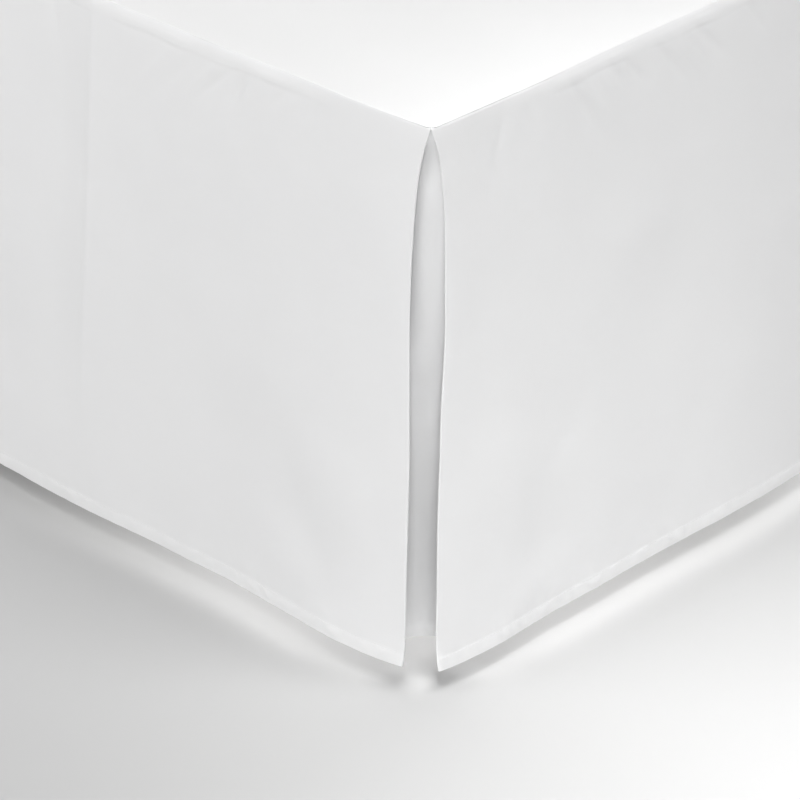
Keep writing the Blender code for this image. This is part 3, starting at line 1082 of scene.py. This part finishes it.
def add_camera():
    right, up, back = camera_axes()
    corner = np.array([HALF_WIDTH, -HALF_LENGTH, DECK_TOP])
    across = (CORNER_PIXEL[0] - PICTURE / 2) / FOCAL_PIXELS * CORNER_DISTANCE
    above = (PICTURE / 2 - CORNER_PIXEL[1]) / FOCAL_PIXELS * CORNER_DISTANCE
    place = corner - right * across - up * above + back * CORNER_DISTANCE
    data = bpy.data.cameras.new("camera")
    data.sensor_width = SENSOR_MM
    data.lens = FOCAL_PIXELS / PICTURE * SENSOR_MM
    data.clip_end = 50.0
    camera = bpy.data.objects.new("camera", data)
    set_pose(camera, right, up, back, place)
    bpy.context.scene.camera = camera


def add_floor():
    nodes = Nodes("floor_plain", 0.85)
    patches = nodes.noise(nodes.place, 1.5, detail=2.0)
    nodes.colour(nodes.ramp(patches, (0.0, FLOOR_WHITE), (1.0, FLOOR_SHADE)))
    half = 12.0
    corners = [(-half, -half, 0.0), (half, -half, 0.0), (half, half, 0.0), (-half, half, 0.0)]
    mesh = bpy.data.meshes.new("floor")
    mesh.from_pydata(corners, [], [(0, 1, 2, 3)])
    mesh.materials.append(nodes.material)
    floor = bpy.data.objects.new("floor", mesh)
    bpy.context.scene.collection.objects.link(floor)


CORNER_AIM = (0.76, -1.00, 0.20)
SOFTBOXES = (
    # name, place, what it faces, width and watts: over the corner, beside it, and low under the bed
    ("softbox_far", (4.95, -5.38, 3.70), CORNER_AIM, 2.5, 200.0),
    ("softbox_front", (2.47, -2.80, 2.87), CORNER_AIM, 1.2, 16.0),
    ("softbox_left", (0.54, -2.60, 3.29), CORNER_AIM, 1.2, 34.0),
    ("softbox_right", (2.283, -0.384, 3.29), CORNER_AIM, 1.2, 47.0),
    ("softbox_low", (-0.60, -2.70, 0.90), (0.35, -1.02, 0.10), 1.0, 12.0),
    ("softbox_under", (0.66, -0.54, 0.16), (0.66, -0.541, 0.0), 0.18, 0.35),
    ("softbox_under_corner", (0.60, -0.86, 0.16), (0.60, -0.861, 0.0), 0.25, 0.52),
)
SPOTS = (
    # name, place, what it faces, angle, lamp's radius and watts: on the floor and through the slit
    ("spot_front", (1.60, -1.35, 2.20), (1.12, -0.92, 0.0), 27.0, 0.20, 112.0),
    ("spot_floor", (1.33, -0.90, 2.20), (1.33, -0.901, 0.0), 34.0, 0.25, 112.0),
    ("spot_slit", (1.214, -1.495, 0.983), (0.738, -0.997, 0.0), 1.3, 0.006, 50.0),
    ("spot_head", (-2.20, 3.80, 3.20), (-0.70, 0.80, 0.10), 34.0, 0.60, 400.0),
)


def aim_light(name, data, place, target, power):
    data.energy = power
    place = np.array(place)
    back = place - np.array(target)
    back = back / np.linalg.norm(back)
    right = np.cross([0.0, 0.0, 1.0], back)
    right = right / np.linalg.norm(right)
    set_pose(bpy.data.objects.new(name, data), right, np.cross(back, right), back, place)


def add_area_light(name, place, target, size, power):
    data = bpy.data.lights.new(name, "AREA")
    data.shape = "DISK"
    data.size = size
    aim_light(name, data, place, target, power)


def add_spot_light(name, place, target, angle, size, power):
    data = bpy.data.lights.new(name, "SPOT")
    data.spot_size = math.radians(angle)
    data.spot_blend = 1.0
    data.shadow_soft_size = size
    aim_light(name, data, place, target, power)


def add_lights():
    """Softboxes and spots, and a little fill from the world."""
    world = bpy.data.worlds.new("studio")
    world.use_nodes = True
    background = world.node_tree.nodes["Background"]
    background.inputs["Color"].default_value = (1.0, 1.0, 1.0, 1.0)
    background.inputs["Strength"].default_value = 0.08
    bpy.context.scene.world = world
    for softbox in SOFTBOXES:
        add_area_light(*softbox)
    for spot in SPOTS:
        add_spot_light(*spot)
    bpy.context.scene.view_settings.view_transform = "Standard"


dress_bed()
add_floor()
add_lights()
add_camera()
